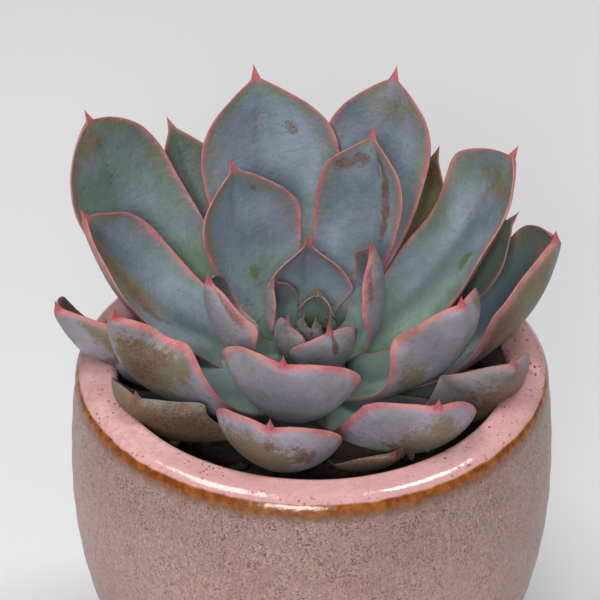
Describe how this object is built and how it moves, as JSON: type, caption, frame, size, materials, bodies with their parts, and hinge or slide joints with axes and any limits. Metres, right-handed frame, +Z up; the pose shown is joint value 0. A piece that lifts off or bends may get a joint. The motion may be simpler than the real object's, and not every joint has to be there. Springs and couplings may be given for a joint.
{
  "type": "potted succulent",
  "caption": "Rosette succulent with cupped, spine-tipped leaves, leaning forward in a rounded speckled stoneware pot with a thick rim.",
  "frame": {"origin": "centre of the flat underside of the pot's foot", "axes": "+Z up along the pot's axis; -Y towards the front, the side the rosette leans to; +X to the right as seen from the front"},
  "size_m": [0.0863, 0.0838, 0.1109],
  "materials": {
    "pot_glaze": "satin",
    "potting_mix": "matte",
    "stem": "matte",
    "leaf": "satin"
  },
  "bodies": {
    "root": {"pot": "pot_glaze", "potting_mix": "potting_mix", "stem": "stem", "leaf_01": "leaf", "leaf_02": "leaf", "leaf_03": "leaf", "leaf_04": "leaf", "leaf_05": "leaf", "leaf_06": "leaf", "leaf_07": "leaf", "leaf_08": "leaf", "leaf_09": "leaf", "leaf_10": "leaf", "leaf_11": "leaf", "leaf_12": "leaf", "leaf_13": "leaf", "leaf_14": "leaf", "leaf_15": "leaf", "leaf_16": "leaf", "leaf_17": "leaf", "leaf_18": "leaf", "leaf_19": "leaf", "leaf_20": "leaf", "leaf_21": "leaf", "leaf_22": "leaf", "leaf_23": "leaf", "leaf_24": "leaf", "leaf_25": "leaf", "leaf_26": "leaf", "leaf_27": "leaf", "leaf_28": "leaf", "leaf_29": "leaf", "leaf_30": "leaf", "leaf_31": "leaf", "leaf_32": "leaf", "leaf_33": "leaf"}
  },
  "joints": []
}
